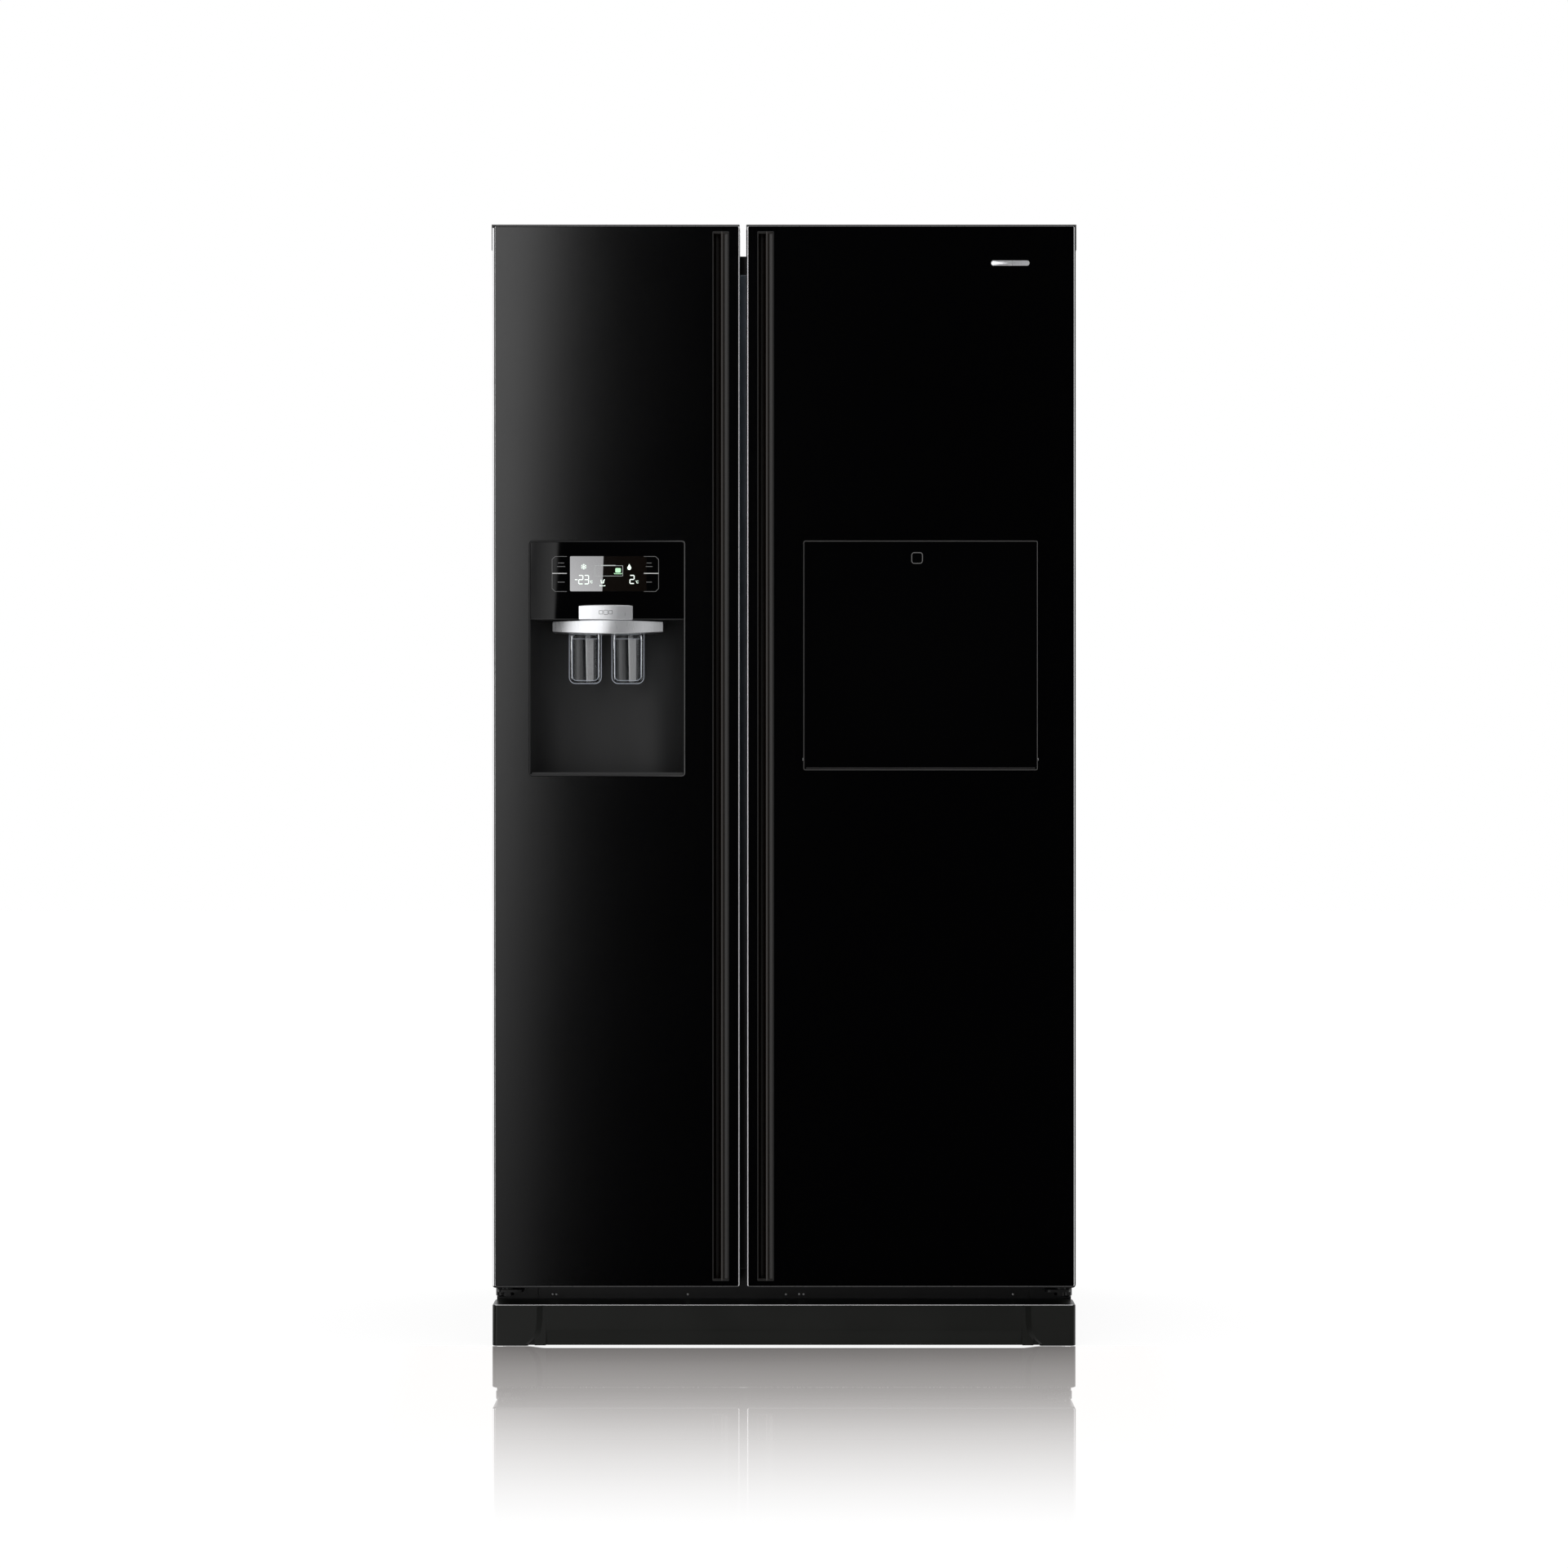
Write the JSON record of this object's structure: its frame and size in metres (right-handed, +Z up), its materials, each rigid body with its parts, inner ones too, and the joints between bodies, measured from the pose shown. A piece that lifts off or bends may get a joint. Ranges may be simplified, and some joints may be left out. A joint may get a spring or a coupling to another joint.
{
  "type": "side by side refrigerator",
  "caption": "Tall black refrigerator with a narrow freezer door holding an ice and water dispenser, a wide fridge door holding a drop-down bar door, and full-height finger channels.",
  "frame": {"origin": "centre of the bounding box on the floor", "axes": "+Z up, front towards -Y, freezer door at -X"},
  "size_m": [0.912, 0.736, 1.751],
  "materials": {
    "black_painted_steel": "satin black paint",
    "black_glass": "polished black panel",
    "black_plastic": "fine textured black plastic",
    "brown_black_plastic": "semi-gloss brown-black",
    "grey_plastic": "satin dark grey",
    "silver": "satin brushed silver",
    "clear_plastic": "clear moulded plastic",
    "display": "dark display window",
    "bare_steel": "zinc-plated steel",
    "white_plastic": "white moulded plastic",
    "insulation": "rigid foam",
    "gasket_rubber": "soft dark grey vinyl",
    "mullion_steel": "blue-grey satin paint",
    "tube_steel": "black-coated steel",
    "galvanised": "galvanised sheet",
    "valve_plastic": "blue plastic"
  },
  "bodies": {
    "cabinet": {"cabinet_shell": "black_painted_steel", "bottom_hinge_freezer": "black_painted_steel", "bottom_hinge_fridge": "black_painted_steel", "hinge_cover_freezer": "black_plastic", "hinge_cover_fridge": "black_plastic", "kick_plate": "black_plastic", "machine_room_cover": "black_plastic", "fan_motor": "black_plastic", "freezer_drawer": "clear_plastic", "crisper_drawer": "clear_plastic", "freezer_shelf_upper": "clear_plastic", "freezer_shelf_lower": "clear_plastic", "fridge_shelf_upper": "clear_plastic", "fridge_shelf_lower": "clear_plastic", "base_frame": "bare_steel", "top_hinge_freezer": "bare_steel", "top_hinge_fridge": "bare_steel", "freezer_liner": "white_plastic", "fridge_liner": "white_plastic", "ice_bucket": "white_plastic", "insulation_foam": "insulation", "centre_mullion": "mullion_steel", "compressor": "tube_steel", "condenser_coil": "tube_steel", "back_panel": "galvanised", "water_inlet_valve": "valve_plastic"},
    "freezer_door": {"freezer_door_core": "black_painted_steel", "freezer_door_cap": "black_plastic", "freezer_door_panel": "black_glass", "freezer_door_liner": "white_plastic", "freezer_door_gasket": "gasket_rubber", "freezer_handle_channel": "brown_black_plastic", "freezer_bin_upper": "clear_plastic", "freezer_bin_lower": "clear_plastic", "dispenser_housing": "grey_plastic", "control_panel": "black_glass", "display_window": "display", "dispenser_canopy": "silver", "drip_tray": "grey_plastic"},
    "fridge_door": {"fridge_door_core": "black_painted_steel", "fridge_door_cap": "black_plastic", "fridge_door_panel": "black_glass", "fridge_door_liner": "white_plastic", "fridge_door_gasket": "gasket_rubber", "fridge_handle_channel": "brown_black_plastic", "fridge_bin_upper": "clear_plastic", "fridge_bin_lower": "clear_plastic"},
    "home_bar_door": {"home_bar_liner": "white_plastic", "home_bar_panel": "black_glass", "home_bar_gasket": "gasket_rubber"},
    "ice_lever_body": {"ice_lever": "clear_plastic"},
    "water_lever_body": {"water_lever": "clear_plastic"},
    "ice_type_button_body": {"ice_type_button": "silver"},
    "front_left_roller_body": {"front_left_roller": "black_plastic"},
    "front_right_roller_body": {"front_right_roller": "black_plastic"},
    "rear_left_roller_body": {"rear_left_roller": "black_plastic"},
    "rear_right_roller_body": {"rear_right_roller": "black_plastic"},
    "levelling_foot_left_body": {"levelling_foot_left": "black_plastic"},
    "levelling_foot_right_body": {"levelling_foot_right": "black_plastic"},
    "condenser_fan_body": {"condenser_fan": "white_plastic"}
  },
  "joints": [
    {"name": "freezer_door_hinge", "type": "hinge", "parent": "cabinet", "child": "freezer_door", "pos_m": [-0.433, -0.324, 0.0926], "axis": [0, 0, -1], "range_deg": [0, 105]},
    {"name": "fridge_door_hinge", "type": "hinge", "parent": "cabinet", "child": "fridge_door", "pos_m": [0.433, -0.324, 0.0926], "axis": [0, 0, 1], "range_deg": [0, 105]},
    {"name": "home_bar_hinge", "type": "hinge", "parent": "fridge_door", "child": "home_bar_door", "pos_m": [0.21305, -0.358, 0.917], "axis": [1, 0, 0], "range_deg": [0, 90]},
    {"name": "ice_lever_hinge", "type": "hinge", "parent": "freezer_door", "child": "ice_lever_body", "pos_m": [-0.31045, -0.318, 1.12], "axis": [1, 0, 0], "range_deg": [0, 12], "stiffness_Nm_per_rad": 0.6, "springref_deg": -5.73},
    {"name": "water_lever_hinge", "type": "hinge", "parent": "freezer_door", "child": "water_lever_body", "pos_m": [-0.24425, -0.318, 1.12], "axis": [1, 0, 0], "range_deg": [0, 12], "stiffness_Nm_per_rad": 0.6, "springref_deg": -5.73},
    {"name": "ice_type_button_press", "type": "slide", "parent": "freezer_door", "child": "ice_type_button_body", "axis": [0, 1, 0], "range_m": [0, 0.0015], "stiffness_N_per_m": 1500, "springref_m": -0.0005},
    {"name": "condenser_fan_spin", "type": "hinge", "parent": "cabinet", "child": "condenser_fan_body", "pos_m": [-0.01, 0.25, 0.135], "axis": [1, 0, 0], "continuous": true},
    {"name": "front_left_roller_spin", "type": "hinge", "parent": "cabinet", "child": "front_left_roller_body", "pos_m": [-0.424, -0.215, 0.02], "axis": [1, 0, 0], "continuous": true},
    {"name": "front_right_roller_spin", "type": "hinge", "parent": "cabinet", "child": "front_right_roller_body", "pos_m": [0.424, -0.215, 0.02], "axis": [1, 0, 0], "continuous": true},
    {"name": "rear_left_roller_spin", "type": "hinge", "parent": "cabinet", "child": "rear_left_roller_body", "pos_m": [-0.424, 0.31, 0.02], "axis": [1, 0, 0], "continuous": true},
    {"name": "rear_right_roller_spin", "type": "hinge", "parent": "cabinet", "child": "rear_right_roller_body", "pos_m": [0.424, 0.31, 0.02], "axis": [1, 0, 0], "continuous": true},
    {"name": "levelling_foot_left_screw", "type": "slide", "parent": "cabinet", "child": "levelling_foot_left_body", "axis": [0, 0, -1], "range_m": [0, 0.01]},
    {"name": "levelling_foot_right_screw", "type": "slide", "parent": "cabinet", "child": "levelling_foot_right_body", "axis": [0, 0, -1], "range_m": [0, 0.01]}
  ]
}
